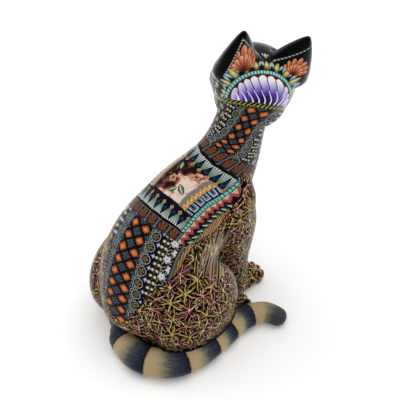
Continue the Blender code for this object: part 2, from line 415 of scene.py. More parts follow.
def make_head():
    """Skull, cheeks, muzzle, eyes and ears, modelled facing forward and then turned."""
    w = HEAD_WIDTH
    bm = bmesh.new()
    add_balls(bm, SKULL, w)
    for hand in (-1, 1):
        add_balls(bm, CHEEK, w, hand)
        add_ear(bm, hand, 1.0, 0)
    head = as_object(bm, "head")
    melt(head, HEAD_GRID, 14)
    cutters = bmesh.new()
    for hand in (-1, 1):
        add_ear(cutters, hand, 0.78, 0.17 * EAR_WIDTH)
    add_balls(cutters, MOUTH, w)
    cut_away(head, as_object(cutters, "hollows"))
    bm = bmesh.new()
    for hand in (-1, 1):
        add_balls(bm, EYE, w, hand, "Y")
    add_balls(bm, NOSE, w)
    bm.from_mesh(head.data)
    bm.transform(head_place())
    bm.to_mesh(head.data)
    bm.free()
    return head


def make_cat():
    """The whole cat in one fine skin, not yet moved over the origin."""
    bm = bmesh.new()
    add_body(bm)
    cat = as_object(bm, "whole")
    melt(cat, BODY_GRID, BODY_SMOOTHING)
    head = make_head()
    bm = bmesh.new()
    for hand in (-1, 1):
        for right, forward in (FRONT_PAW, HIND_PAW):
            add_paw(bm, at(hand * right * HEIGHT, forward * HEIGHT, PAW_HEIGHT * 0.45))
    add_tail(bm)
    bm.from_mesh(cat.data)
    bm.from_mesh(head.data)
    bpy.data.objects.remove(head)
    bm.to_mesh(cat.data)
    bm.free()
    melt(cat, WHOLE_GRID, 6)
    return cat


def corners_of(mesh):
    """Vertex places and the four corners of every face of a skin made of quads."""
    places = np.empty(len(mesh.vertices) * 3, np.float32)
    mesh.vertices.foreach_get("co", places)
    faces = np.empty(len(mesh.loops), np.int32)
    mesh.loops.foreach_get("vertex_index", faces)
    return places.reshape(-1, 3), faces.reshape(-1, 4)


# Charts that lay the flat pattern on the skin


def along_line(places, line):
    """For each place the index of the nearest point of a line, and its share on the way to the next."""
    found = np.empty(len(places))
    steps = np.gradient(line, axis=0)
    size = np.linalg.norm(steps, axis=1)
    for start in range(0, len(places), BATCH):
        part = places[start : start + BATCH]
        apart = (part**2).sum(1)[:, None] + (line**2).sum(1) - 2 * part @ line.T
        near = apart.argmin(1)
        past = ((part - line[near]) * steps[near]).sum(1) / size[near] ** 2
        found[start : start + BATCH] = np.clip(near + past, 0, len(line) - 1)
    return found


def reach_along(line):
    """Way from the start of a line to each of its points, in millimetres."""
    return np.r_[0, np.cumsum(np.linalg.norm(np.diff(line, axis=0), axis=1))] * 1000


def unit(vectors):
    """Vectors made one long."""
    return vectors / np.maximum(np.linalg.norm(vectors, axis=1), 1e-9)[:, None]


def between(values, index):
    """Values read at fractional indices."""
    marks = np.arange(len(values))
    if values.ndim == 1:
        return np.interp(index, marks, values)
    return np.stack([np.interp(index, marks, column) for column in values.T], axis=1)


def table(pairs, values):
    """Values read from a table of pairs."""
    return np.interp(values, [a for a, _ in pairs], [b for _, b in pairs])


def back_chart(places):
    """Place on the back, across and along, and how far inside the saddle it lies, in millimetres."""
    rows = np.array(smooth_path(TORSO, 24))
    centre = np.stack([-rows[:, 0], -rows[:, 1], rows[:, 2]], 1) * HEIGHT
    width = rows[:, 3] * HEIGHT
    depth = rows[:, 4] * HEIGHT
    along = unit(np.gradient(centre, axis=0))
    side = unit(np.array([1.0, 0, 0]) - along * along[:, :1])
    out = np.cross(along, side)
    out *= np.sign(out[len(out) // 2] @ np.array([0, 1.0, 1.0]))
    reach = reach_along(centre + out * depth[:, None])
    index = along_line(places, centre)
    away = places - between(centre, index)
    w, d = between(width, index), between(depth, index)
    turn = np.arctan2(-(away * between(side, index)).sum(1) / w, (away * between(out, index)).sum(1) / d)
    u = turn * np.sqrt((w * w + d * d) / 2) * 1000
    v = between(reach, index)
    inside = np.minimum(table(RIGHT_BORDER, v) - u, u + table(LEFT_BORDER, v))
    inside = np.where(v < 6, -5, inside)
    shifted = (u - table(TWIST, v)) * table(NARROWING, v)
    tilted = v + 0.12 * shifted * np.clip((v - 100) / 18, 0, 1)
    return np.stack([shifted, table(ROWS, tilted)], 1), inside


def head_chart(places):
    """The head's flat maps and its values, in millimetres."""
    local = np.array(head_place().inverted())
    q = places @ local[:3, :3].T + local[:3, 3]
    w = HEAD_WIDTH
    left, forward, up = q[:, 0] / w, -q[:, 1] / w, q[:, 2] / w
    length = np.sqrt(left**2 + forward**2 + up**2)
    tip = radians(5)
    back = (-forward * cos(tip) + up * sin(tip)) / length
    rise = (forward * sin(tip) + up * cos(tip)) / length
    swing = np.arccos(np.clip(back, -1, 1))
    flat = np.sqrt(np.maximum((left / length) ** 2 + rise**2, 1e-9))
    round_map = np.stack([left / length, rise], 1) * (swing / flat * 24)[:, None]
    collar = (up + 0.55 * (forward + 0.46) - 0.045 + 0.35 * left**2 - 0.1 * left) * w * 1000
    ear_map = np.zeros((len(q), 2))
    behind = np.zeros(len(q))
    on_ear = np.zeros(len(q))
    bloom = np.zeros(len(q))
    shape = np.array(EAR)
    for hand in (-1, 1):
        foot, heading, side = ear_axes(hand)
        across = (side - side.project(heading)).normalized()
        depth = heading.cross(across)
        away = (q - np.array(foot)) * 1000
        mine = left * hand >= 0
        ear_map[mine, 0] = (away @ np.array(across))[mine] * hand
        ear_map[mine, 1] = (away @ np.array(heading))[mine]
        behind[mine] = (away @ np.array(depth))[mine]
        share = ear_map[:, 1] / (EAR_LENGTH * 1000)
        wide = np.interp(share, shape[:, 0], shape[:, 1]) * EAR_WIDTH * 1000
        thick = np.interp(share, shape[:, 0], shape[:, 2]) * EAR_WIDTH * 1000
        reach = np.hypot(ear_map[:, 0] / wide, behind / thick)
        on_ear[mine] = np.where((share < 0.05) | (share > 0.94), 3.0 - 2 * (share > 0.94), reach)[mine]
        bloom[mine] = 1.0 if hand > 0 else 0.7
        if hand < 0:
            ear_map[mine, 0] -= 2.8
    maps = {"round": round_map, "ear": ear_map, "face": np.stack([left, up], 1) * w * 1000}
    front = forward * w * 1000
    return maps, {"behind": behind, "on_ear": on_ear, "bloom": bloom, "front": front, "collar": collar}


def tail_chart(places):
    """Place along and round the tail, band number, depth under the tail's own surface and way along it."""
    line = tail_line(16)
    centre = np.array([tuple(point) for point, _ in line])
    radius = np.array([size for _, size in line])
    reach = reach_along(centre)
    index = along_line(places, centre)
    away = places - between(centre, index)
    heading = unit(between(np.gradient(centre, axis=0), index))
    side = np.cross(heading, np.array([0, 0, 1.0]))
    turn = np.arctan2((away * side).sum(1), away[:, 2])
    size = between(radius, index)
    length = between(reach, index)
    marks = [0, *TAIL_BANDS, reach[-1] + 8]
    band = np.interp(length, marks, range(len(marks)))
    depth = (size - np.linalg.norm(away, axis=1)) * 1000
    return np.stack([length, turn * size * 1000], 1), band, depth, length


def pull_at(places):
    """How far the star web is drawn out lengthways, strongest in the creases before the thighs."""
    pull = np.zeros(len(places))
    for hand in (-1, 1):
        apart = (((places - np.array(CREASE) * (hand, 1, 1)) / np.array(CREASE_RADII)) ** 2).sum(1)
        pull = np.maximum(pull, np.exp(-apart / 2))
    return pull


def nearest_star(points, facing, centres, outward):
    """For each point the star that it belongs to: near it, and on skin that faces the same way."""
    owner = np.empty(len(points), np.int32)
    drawn = 1 + 1.2 * pull_at(centres)
    for start in range(0, len(points), BATCH):
        part = points[start : start + BATCH]
        gap = part[:, None, :] - centres[None]
        apart = (gap[..., :2] ** 2).sum(2) * drawn + gap[..., 2] ** 2 / drawn
        bend = 1 - facing[start : start + BATCH] @ outward.T
        owner[start : start + BATCH] = (apart * (1 + 2 * bend)).argmin(1)
    return owner


def spread_stars(places, normals, count, rounds):
    """Even centres over the skin, found by moving each to the middle of what lies nearest it."""
    rng = np.random.default_rng(7)
    sample = rng.choice(len(places), min(len(places), 24000), replace=False)
    points, facing = places[sample], normals[sample]
    chosen = rng.choice(len(points), count, replace=False)
    centres, outward = points[chosen].copy(), facing[chosen].copy()
    for _ in range(rounds):
        owner = nearest_star(points, facing, centres, outward)
        for k in range(count):
            mine = owner == k
            if mine.any():
                middle = points[mine].mean(0)
                best = np.flatnonzero(mine)[((points[mine] - middle) ** 2).sum(1).argmin()]
                centres[k], outward[k] = points[best], facing[best]
    return centres, outward


def two_kinds(count, neighbours):
    """One of two kinds for each star, so that neighbours differ where they can."""
    kind = np.full(count, -1)
    waiting = list(range(count))
    while waiting:
        k = waiting.pop(0)
        if kind[k] >= 0:
            continue
        near = [kind[j] for j in neighbours[k] if kind[j] >= 0]
        kind[k] = int(near.count(0) >= near.count(1)) if near else k % 2
        waiting = sorted(neighbours[k]) + waiting
    return kind


def nearest_way(away, outward, owner, targets, middle):
    """Places across and along the way from each face's star to the target nearest in direction.

    It also gives that way's length and target.
    """
    most = max(len(t) for t in targets)
    ends = np.zeros((len(targets), most, 3))
    ids = np.zeros((len(targets), most), np.int64)
    real = np.zeros((len(targets), most), bool)
    for k, found in enumerate(targets):
        for slot, (j, place) in enumerate(found):
            ends[k, slot], ids[k, slot], real[k, slot] = place, j, True
    reach = np.linalg.norm(ends, axis=2)
    heading = ends / np.maximum(reach, 1e-9)[..., None]
    flat = unit(middle - outward[owner] * (middle * outward[owner]).sum(1)[:, None])
    match = (heading[owner] * flat[:, None]).sum(2)
    match[~real[owner]] = -2
    best = match.argmax(1)
    heading, reach, ids = heading[owner, best], reach[owner, best], ids[owner, best]
    across = unit(np.cross(heading, outward[owner]))
    s = (away * across[:, None]).sum(2) * 1000
    t = (away * heading[:, None]).sum(2) * 1000
    return np.stack([s, t], 2), reach * 1000, ids


def star_maps(places, normals, faces):
    """Maps of the star web: places on the way to the next star and corner, their distance, and star kinds."""
    middles = places[faces].mean(1)
    facing = normals[faces].mean(1)
    count = int(len(faces) * (HEIGHT / WHOLE_GRID) ** 2 * 1.1 / (0.87 * STAR_SPACING**2))
    centres, outward = spread_stars(middles, facing, count, 9)
    owner = nearest_star(middles, facing, centres, outward)
    pairs = np.unique(np.stack([faces.ravel(), np.repeat(owner, 4)], 1), axis=0)
    vertex, first, many = np.unique(pairs[:, 0], return_index=True, return_counts=True)
    groups = {}
    for v, start in zip(vertex[many > 2], first[many > 2]):
        groups.setdefault(tuple(pairs[start : start + 3, 1]), []).append(places[v])
    neighbours = [set() for _ in range(count)]
    corners = [[] for _ in range(count)]
    for trio, found in groups.items():
        place = np.mean(found, axis=0)
        for k in trio:
            neighbours[k].update(j for j in trio if j != k)
            corners[k].append((0, place - centres[k]))
    kind = two_kinds(count, neighbours)
    ways = [
        [(j, centres[j] - centres[k]) for j in sorted(near)] or [(k, outward[k])]
        for k, near in enumerate(neighbours)
    ]
    corners = [found or [(0, outward[k])] for k, found in enumerate(corners)]
    away = places[faces] - centres[owner][:, None]
    middle = middles - centres[owner]
    to_star, star_reach, other = nearest_way(away, outward, owner, ways, middle)
    to_corner, corner_reach, _ = nearest_way(away, outward, owner, corners, middle)
    reach = np.stack([star_reach, corner_reach], 1)[:, None]
    kinds = np.stack([kind[owner], kind[other]], 1)[:, None]
    return {"to_star": to_star, "to_corner": to_corner, "reach": reach, "kinds": kinds}


def piece(name, places, normals, faces):
    """A new object from some of the faces, with the whole skin's normals kept at the joins."""
    used, corners = np.unique(faces, return_inverse=True)
    mesh = bpy.data.meshes.new(name)
    mesh.from_pydata(places[used].tolist(), [], corners.reshape(-1, 4).tolist())
    mesh.shade_smooth()
    mesh.normals_split_custom_set_from_vertices(normals[used].tolist())
    return add_object(name, mesh), used


def add_map(mesh, name, values):
    """A map of two values for every face corner."""
    layer = mesh.uv_layers.new(name=name)
    layer.data.foreach_set("uv", np.ascontiguousarray(values, np.float32).ravel())


def add_value(mesh, name, values):
    """One value for every vertex."""
    mesh.attributes.new(name, "FLOAT", "POINT").data.foreach_set("value", values.astype(np.float32))


# Colour


def paint(text):
    """A paint given as rrggbb on screen, as the light values that the shader takes."""
    parts = [int(text[i : i + 2], 16) / 255 for i in (0, 2, 4)]
    return (*[c / 12.92 if c <= 0.04045 else ((c + 0.055) / 1.055) ** 2.4 for c in parts], 1.0)


def feed(socket, value):
    """Gives a socket a number, a paint or the result of another node."""
    if isinstance(value, Number):
        value = value.socket
    if isinstance(value, bpy.types.NodeSocket):
        socket.id_data.links.new(value, socket)
    else:
        socket.default_value = paint(value) if isinstance(value, str) else value


def add_node(tree, kind, inputs=None, **settings):
    """A node with its settings made and then its sockets fed, by name or by place."""
    node = tree.nodes.new(kind)
    for name, setting in settings.items():
        setattr(node, name, setting)
    for key, value in (inputs or {}).items():
        feed(node.inputs[key], value)
    return node


class Number:
    """A number that varies over the skin, made of maths nodes."""

    def __init__(self, socket):
        self.socket = socket

    def maths(self, operation, *others, clamp=False):
        inputs = dict(enumerate((self, *others)))
        node = add_node(self.socket.id_data, "ShaderNodeMath", inputs, operation=operation, use_clamp=clamp)
        return Number(node.outputs[0])

    def __add__(self, other):
        return self.maths("ADD", other)

    def __sub__(self, other):
        return self.maths("SUBTRACT", other)

    def __rsub__(self, other):
        return self.maths("MULTIPLY_ADD", -1.0, other)

    def __mul__(self, other):
        return self.maths("MULTIPLY", other)

    def __truediv__(self, other):
        return self.maths("DIVIDE", other) if isinstance(other, Number) else self.maths("MULTIPLY", 1 / other)

    def __abs__(self):
        return self.maths("ABSOLUTE")

    def most(self, other):
        return self.maths("MAXIMUM", other)

    def least(self, other):
        return self.maths("MINIMUM", other)

    def wave(self, speed=1.0):
        """From -1 to 1 and back."""
        return (self * speed).maths("COSINE")

    def stripes(self, speed=1.0):
        """From 0 to 1 and back."""
        return self.wave(speed) * 0.5 + 0.5

    def wrap(self, period, start=0.0):
        """Distance from the nearest of a row of marks that are a period apart."""
        return (self - start).maths("WRAP", period / 2, -period / 2)

    def below(self, limit, soft=0.14):
        """1 where the number is under the limit, with a narrow soft edge."""
        if isinstance(limit, Number):
            return (limit - self).maths("MULTIPLY_ADD", 1 / soft, 0.5, clamp=True)
        return self.maths("MULTIPLY_ADD", -1 / soft, limit / soft + 0.5, clamp=True)

    def above(self, limit, soft=0.14):
        return self.below(limit, -soft)

    def near(self, place, reach, soft=0.14):
        """1 within a reach of a place."""
        return abs(self - place).below(reach, soft)

    def within(self, low, high, soft=0.14):
        """1 from low to high."""
        return self.near((low + high) / 2, (high - low) / 2, soft)

    def from_to(self, low, high):
        """0 at low and 1 at high."""
        return self.above((low + high) / 2, high - low)


def length(x, y):
    return (x * x).maths("ADD", y * y).maths("SQRT")


def oval(x, y, wide, high):
    """Distance from the middle of an oval, 1 at its edge."""
    return length(x / wide, y / high)


def block(x, y, wide, high):
    """Distance from the middle of a rectangle, 1 at its edge."""
    return abs(x / wide).most(abs(y / high))


def diamond(x, y, trim):
    """Distance from the middle of a diamond with its points trimmed."""
    return (abs(x) + abs(y)).most(abs(x).most(abs(y)) * trim)


def angle(x, y):
    """Way round from the y axis towards x."""
    return x.maths("ARCTAN2", y)


def turned(x, y, turn):
    return x * cos(turn) + y * sin(turn), y * cos(turn) - x * sin(turn)


class Clay:
    """A clay whose colour is laid on pattern by pattern."""

    def __init__(self, name, ground):
        self.material = bpy.data.materials.new(name)
        self.material.use_nodes = True
        self.tree = self.material.node_tree
        self.shader = self.tree.nodes["Principled BSDF"]
        self.place = add_node(self.tree, "ShaderNodeTexCoord").outputs["Object"]
        self.colour = ground

    def parts(self, socket):
        """The three numbers of a place."""
        return [Number(part) for part in add_node(self.tree, "ShaderNodeSeparateXYZ", {0: socket}).outputs]

    def map(self, name):
        return self.parts(add_node(self.tree, "ShaderNodeUVMap", uv_map=name).outputs[0])[:2]

    def value(self, name):
        return Number(add_node(self.tree, "ShaderNodeAttribute", attribute_name=name).outputs["Fac"])

    def noise(self, scale, detail=2.0, over=None):
        """Noise over the object's own places, or over two numbers."""
        place = self.place
        if over:
            place = add_node(self.tree, "ShaderNodeCombineXYZ", dict(enumerate(over))).outputs[0]
        inputs = {"Vector": place, "Scale": scale, "Detail": detail}
        return Number(add_node(self.tree, "ShaderNodeTexNoise", inputs).outputs["Fac"])

    def walls(self, scale):
        """Distance from the walls of scattered cells with bent walls, in cells."""
        bend = add_node(self.tree, "ShaderNodeTexNoise", {"Vector": self.place, "Scale": 300.0})
        inputs = {0: bend.outputs["Color"], 1: (0.005, 0.005, 0.005), 2: self.place}
        moved = add_node(self.tree, "ShaderNodeVectorMath", inputs, operation="MULTIPLY_ADD")
        inputs = {"Vector": moved.outputs[0], "Scale": scale}
        cells = add_node(self.tree, "ShaderNodeTexVoronoi", inputs, feature="DISTANCE_TO_EDGE")
        return Number(cells.outputs["Distance"])

    def tone(self, low, high, share):
        """A colour between two others."""
        return add_node(self.tree, "ShaderNodeMix", {0: share, 6: low, 7: high}, data_type="RGBA").outputs[2]

    def ramp(self, share, stops):
        node = add_node(self.tree, "ShaderNodeValToRGB", {0: share})
        marks = node.color_ramp.elements
        while len(marks) < len(stops):
            marks.new(0.5)
        for mark, (place, colour) in zip(marks, stops):
            mark.position = place
            mark.color = paint(colour)
        return node.outputs[0]

    def lay(self, colour, mask):
        """Lays a colour over what is there, where the mask is 1."""
        self.colour = self.tone(self.colour, colour, mask)

    def blend(self, low, high, share, mask):
        """Lays a colour between two others over what is there."""
        self.lay(self.tone(low, high, share), mask)

    def finish(self, gloss=0.34, relief=None, sheen=0.25):
        """Uneven gloss, faint unevenness of the skin, and a thin lacquer that shows at its edges."""
        feed(self.shader.inputs["Base Color"], self.colour)
        mottle = self.noise(900.0, 3.0)
        feed(self.shader.inputs["Roughness"], mottle.maths("MULTIPLY_ADD", 0.16, gloss - 0.08))
        facing = add_node(self.tree, "ShaderNodeLayerWeight", {"Blend": 0.5})
        edge = Number(facing.outputs["Facing"]).maths("POWER", 2.5)
        feed(self.shader.inputs["Specular IOR Level"], edge.maths("MULTIPLY_ADD", sheen, 0.02))
        height = self.noise(260.0, 3.0)
        if relief is not None:
            height = height * 0.5 + relief
        inputs = {"Strength": 0.35, "Distance": 0.0004, "Height": height}
        feed(self.shader.inputs["Normal"], add_node(self.tree, "ShaderNodeBump", inputs).outputs[0])
        return self.material


# Star web


def lay_star_web(clay, zone=1.0):
    """Bowed strands of two colours from star to star, over a finer net round near black holes."""
    sway = (clay.noise(230.0) - 0.5) * 3.0
    s, t = clay.map("to_star")
    p, q = clay.map("to_corner")
    star_reach, corner_reach = clay.map("reach")
    kind, other = clay.map("kinds")
    shine = clay.noise(420.0) * 0.8 + 0.6
    drift = (clay.noise(240.0, 1.0) - 0.5) * 4.5
    fleck = clay.noise(330.0, 1.0)
    pale = fleck.above(0.6, 0.1) * 0.8
    mine, theirs = (
        clay.tone(clay.tone(WEB_ROSE, WEB_GOLD, hue.above(0.5, 0.4)), WEB_PALE, pale)
        for hue in (kind + drift, other - drift)
    )
    strand = clay.ramp(fleck, NET_PAINTS)
    wall = clay.walls(230.0)
    ground = clay.colour
    clay.colour = clay.tone("0a0403", "2a140c", wall.below(0.14, 0.08))
    clay.blend(strand, "4a2c1a", wall * 9.0, wall.below(0.075, 0.03))
    ring = length(p + sway * 0.5, corner_reach - q)
    clay.lay(WEB_HOLE, ring.below(2.2, 0.2))
    clay.blend(strand, "2a170f", abs(ring - 1.75) * 2.4, ring.near(1.75, 0.34))
    s = s + sway
    share = t / star_reach
    arc = (share * pi).maths("SINE") * 1.15
    for sign, way, own in ((-1, share, mine), (1, 1 - share, theirs)):
        tip = (way * 1.4).maths("POWER", 8.0) * 0.4
        gap = abs(s + (arc + way * 0.5 - 0.1) * sign) + tip
        clay.lay(WEB_HOLE, gap.below(0.95))
        clay.blend(own, "4a2016", gap * gap * 4.4, gap.below(0.44))
    hub = length(s * 0.8, t)
    clay.blend("e0b0a8", mine, hub * 1.4, hub.below(0.7))
    x, y, z = clay.parts(clay.place)
    drawn = clay.noise(1.0, 1.0, (abs(x) * -300 + y * 260 + z * 100, z * 45))
    crease = (clay.value("pull") + (drawn - 0.5) * 1.2).above(0.5, 0.08)
    clay.lay(clay.ramp(drawn, CREASE_PAINTS), crease)
    # Painted shade: the web goes near black within a few millimetres of the tail, where thigh and belly meet
    # it. Elsewhere the shine noise dims it at random.
    web = clay.tone("000000", clay.colour, shine.least(clay.value("tail_shade_distance") * 0.13 + 0.08))
    clay.colour = clay.tone(ground, web, zone)
    return gap.below(0.6)


def web_clay():
    clay = Clay("web_clay", "1c0f0c")
    rays = lay_star_web(clay)
    return clay.finish(0.32, rays * 0.6)


# Saddle over back and neck


def lay_columns(clay, x, y):
    """Toothed diamonds down the middle, then scrolls, dots and lace on both sides."""
    side = abs(x)
    grain = clay.noise(1500.0)
    a, b = x.wrap(9.0, 4.5) / 4.5, y.wrap(ROW, 0.5) / (ROW / 2)
    tile = diamond(a, b, 1.22)
    veins = angle(a, b).wave(12)
    edge = tile + veins * 0.05
    shade = clay.tone("e58a54", "5c1d10", edge * edge * 1.9 + veins * tile * 0.3 + (grain - 0.5) * 1.4)
    clay.lay(shade, edge.below(0.8, 0.06) * side.below(9.0))
    a, b = x.wrap(9.0) / 4.5, y.wrap(ROW, 4.25) / (ROW / 2)
    star = angle(a, b).wave(8) * 0.3 + grain
    shade = clay.ramp(star, ((0.25, "0c1117"), (0.5, "2c3641"), (0.8, "5c6a75")))
    clay.lay(shade, diamond(a, b, 1.2).below(0.76, 0.06) * side.below(10.8))

    a, b = side - 12.0, y.wrap(ROW, 0.5)
    r = length(a, b)
    scroll = side.within(8.2, 15.2)
    fan = angle(a + 1.9, b).stripes(12)
    clay.lay("080606", scroll * r.below(4.0))
    clay.blend("0e0908", "a08a68", fan * fan, scroll * r.below(1.75))
    clay.lay("b9bcb8", scroll * (r + angle(a, b).wave(14) * 0.14).near(2.7, 0.18))
    clay.lay("aab3b8", scroll * (r + angle(a, b).wave(9) * 0.25).near(3.8, 0.17) * a.below(0.6))
    a, b = side - 15.5, y.wrap(ROW, 4.25)
    star = abs(a * b) * 2.4 + length(a, b)
    clay.blend("dfe6f2", "6f88cc", star * 0.7, star.below(1.9))

    pearls = side.within(16.6, LACE)
    middle = side - 18.9
    r = length(abs(middle) - 1.25, y.wrap(ROW / 2, 0.5))
    clay.lay("15100e", pearls)
    clay.blend("e6dfbf", "6f664e", r * r * 0.95, r.below(1.05))
    clay.lay("5d5346", pearls * length(middle, y.wrap(ROW / 2, 2.4)).below(0.45))

    lace = side.above(LACE)
    second = (y * 0.5 / 5.6).maths("FRACT").above(0.5, 0.01)
    a, b = (side - 23.6 - second * 3.3).wrap(7.4), y.wrap(5.6, 2.8)
    r, turn = length(a, b), angle(a, b)
    streak = (turn * 9 + r * 1.6).wave()
    flower = r + turn.wave(5) * 0.5
    clay.blend("0d0b0a", "b3aaa6", streak * streak * streak, lace)
    clay.lay("0b0909", lace * flower.below(2.6))
    clay.blend("f4eef1", "b3a9b0", r * 0.36, lace * flower.below(2.25))
    clay.lay("1a1414", lace * r.below(0.4))
    clay.lay("0e0c0c", lace * y.above(130.0) * grain)


def lay_speckles(clay, zone):
    shade = clay.ramp(clay.noise(2100.0, 1.0), ((0.4, "0e1012"), (0.5, "4c545b"), (0.6, "8b959b")))
    clay.lay(shade, zone)


def lay_shells(clay, x, y, centre):
    """A row of striped shells on a slate grid."""
    zone = y.near(centre, 3.4)
    a, b = x.wrap(7.8, 3.6), y - centre
    clay.blend("3c3635", "666d7c", abs(a).near(3.9, 0.4), zone)
    square = abs(a).most(abs(b)) * 0.62 + (abs(a) + abs(b)) * 0.3
    stripes = (angle(a, b + 3.4) * 15 + length(a, b + 3.4) * 0.4).stripes()
    clay.lay("140d0c", zone * square.below(3.0))
    clay.blend("2c1a14", "8f5638", stripes, zone * square.below(2.5))
    clay.lay("5b8aa6", zone * length(abs(a) - 3.9, abs(b) - 3.2).below(0.7))


def lay_skirts(clay, x, y, zone):
    """Striped skirts on short stems between dark drops, one row along each end of the panel."""
    h = (y - 79.1).least(121.4 - y)
    zone = zone * h.below(9.4)
    drop = oval(x.wrap(SKIRT), h - 3.6, 1.25, 2.9)
    clay.blend("0d1b3c", "31506f", drop.above(0.82, 0.1), zone * drop.below(1.0, 0.1))
    a = x.wrap(SKIRT, 2.97)
    share = a / (h * -0.36 + 3.0)
    skirt = clay.tone(clay.tone("eaf1ec", "93ab83", h / 5.5), "1c3230", share.stripes(11.0) * 0.9)
    clay.lay(skirt, zone * abs(share).below(0.96, 0.05) * h.within(0.35, 6.9))
    stem = abs(a) + abs(h - 7.8)
    clay.lay("b39a69", zone * stem.below(1.35))
    clay.lay("5a3b22", zone * stem.below(0.5))


def lay_leaf(clay, x, y, turn, reach, zone):
    """One pointed leaf with a pale rib."""
    p, q = turned(x, y, turn)
    edge = abs(q) + p * p * (1.5 / reach**2)
    clay.lay("14211a", zone * edge.below(1.8))
    clay.blend("86b077", "356244", edge / 1.4, zone * edge.below(1.3))
    clay.lay("dbe5c8", zone * abs(q).below(0.17) * edge.below(1.2))


def lay_picture(clay, x, y, zone):
    """The marbled middle of the panel: dark to the left, cream to the right, with leaves and blossoms."""
    drift = clay.noise(0.15, 1.5, (x, y))
    light = x * 0.1 - (y - 100) * 0.05 + (drift - 0.5) * 2.6 + 0.42
    clay.lay(clay.ramp(light, MARBLE_PAINTS), zone)
    patch = clay.noise(0.22, 2.0, (x + 40, y))
    clay.lay("9c5540", zone * patch.above(0.58, 0.12) * 0.75)
    clay.lay("5a241c", zone * patch.above(0.68, 0.08) * 0.8)
    for px, py, turn, reach in PICTURE_LEAVES:
        lay_leaf(clay, x - px, y - py, turn, reach, zone)
    for px, py, size in PICTURE_BLOSSOMS:
        r = length(x - px, y - py)
        petals = r + angle(x - px, y - py).wave(5) * 0.45
        clay.blend("6e2a22", "d9a878", petals / size, zone * petals.below(size))
        clay.lay("2a1512", zone * r.below(0.55))


def panel_across(u, y):
    """Place across the panel, which is drawn wider towards the neck."""
    return u / (y * 0.0045 + 0.649)


def lay_panel(clay, u, y):
    """The framed panel across the back."""
    x = panel_across(u, y)
    side = abs(x)
    zone = y.within(78.6, PANEL_TOP)
    clay.blend("0a0c17", "1f1026", (x * 0.9 + y * 0.6).stripes(0.5), zone)
    lay_picture(clay, x, y, side.below(11.3) * y.within(90.4, 113.0))
    long = y.within(89.4, 113.6)
    clay.lay("44443f", long * side.within(11.3, 13.4))
    clay.lay("b0aea6", long * side.near(11.9, 0.2).most(side.near(12.9, 0.2)))
    clay.blend("d2b077", "b0703a", (y * 1.9 + x * 2.2).stripes(), long * side.within(13.5, 16.7))
    clay.lay("e3c78c", long * oval(side - 15.1, y.wrap(2.3), 0.9, 0.9).below(0.62))
    comb = side.within(17.0, 21.2) * long
    bend = abs(y.wrap(5.1, 2.0)).most(side - 19.2)
    clay.lay("0f1830", comb)
    clay.lay("ccd8e2", comb * bend.near(1.6, 0.26))
    clay.lay("7f9fb4", comb * bend.near(0.8, 0.2))
    lay_skirts(clay, x, y, zone * side.below(21.6))
    clay.lay("101938", zone * side.within(21.5, 22.1))
    clay.lay("0a2224", zone * side.within(22.0, 24.3))
    bead = block(side - 23.1, y.wrap(2.1), 1.05, 0.9)
    clay.blend("93d3c8", "2a8078", bead * bead, zone * bead.below(1.0, 0.1))


def lay_side_rows(clay, u, y):
    """Zigzag, leaf and feather rows beyond the bead line."""
    side = abs(panel_across(u, y))
    out = abs(u)
    zone = y.within(72.2, PANEL_TOP) * side.above(24.4)
    cloth = zone * side.near(27.0, 2.5)
    zig = side - 25.6 - abs(y.wrap(4.4)) * 1.25
    clay.lay("17121a", zone)
    clay.lay("cbb997", cloth * zig.below(-1.0))
    clay.lay("7a262d", cloth * abs(zig).below(1.3))
    clay.blend("c25b58", "87303a", abs(zig), cloth * abs(zig).below(1.0))
    p = side - 31.3
    q = (y - p * 0.7).wrap(4.4, 1.2)
    clay.lay("0a0a10", zone * side.above(29.5))
    clay.lay("2c6644", zone * oval(q - 1.3, p - 0.2, 0.6, 1.5).below(1.0, 0.1))
    clay.lay("bccab9", zone * oval(q, p, 0.6, 1.6).below(1.0, 0.1))
    start = y.from_to(76.0, 70.0) * -3.2 + (y / 4.2).maths("FRACT") * -1.7 + 33.5
    run = y.within(44.0, PANEL_TOP) * out.above(29.6)
    feather = side.above(start) * run
    barb = ((side + y * 0.405) / 1.7).maths("FRACT")
    grain = clay.noise(1.0, 2.0, (side * 1.2, y * 0.12))
    clay.lay(clay.ramp(barb + (grain - 0.5) * 0.7, FEATHER_PAINTS), feather)
    clay.lay("cfc6b2", feather * side.below(start + 0.5))
    clay.lay("0c0b0c", side.near(start, 0.3) * run)
    band = y.within(46.0, 71.0)
    clay.blend("6d6a5c", "3e3d38", abs(out - 28.6) * 0.8, band * out.within(27.6, 30.2))
    clay.lay("10201f", band * out.near(27.5, 0.4))


def back_clay():
    """Clay of the saddle over back and neck, and of the star web round it."""
    clay = Clay("patterned_clay", "120e0c")
    u, y = clay.map("back")
    u = u + (clay.noise(120.0) - 0.5) * 1.6
    y = y + (clay.noise(150.0) - 0.5) * 1.6
    inside = clay.value("inside")
    lay_columns(clay, u, y)
    lay_speckles(clay, u.within(-14.5, -9.7) * y.below(71.0))
    lay_shells(clay, u, y, 75.1)
    lay_panel(clay, u, y)
    lay_side_rows(clay, u, y)
    lay_shells(clay, u, y, 125.6)
    for border in (78.4, 122.1):
        clay.lay("07080c", y.near(border, 0.5) * abs(u).below(24.6))
    clay.lay("7d786f", y.near(77.8, 0.14))
    clay.lay("0c0c0f", inside.below(0.7))
    lay_star_web(clay, inside.below(0.0))
    collar = clay.value("collar")
    leaf = abs((u + y).wrap(2.6) / 1.3)
    clay.lay("0c0d09", collar.above(-1.1))
    clay.blend("a9a44e", "2f3715", leaf, (leaf - collar).below(0.9, 0.2))
    return clay.finish()


# Head


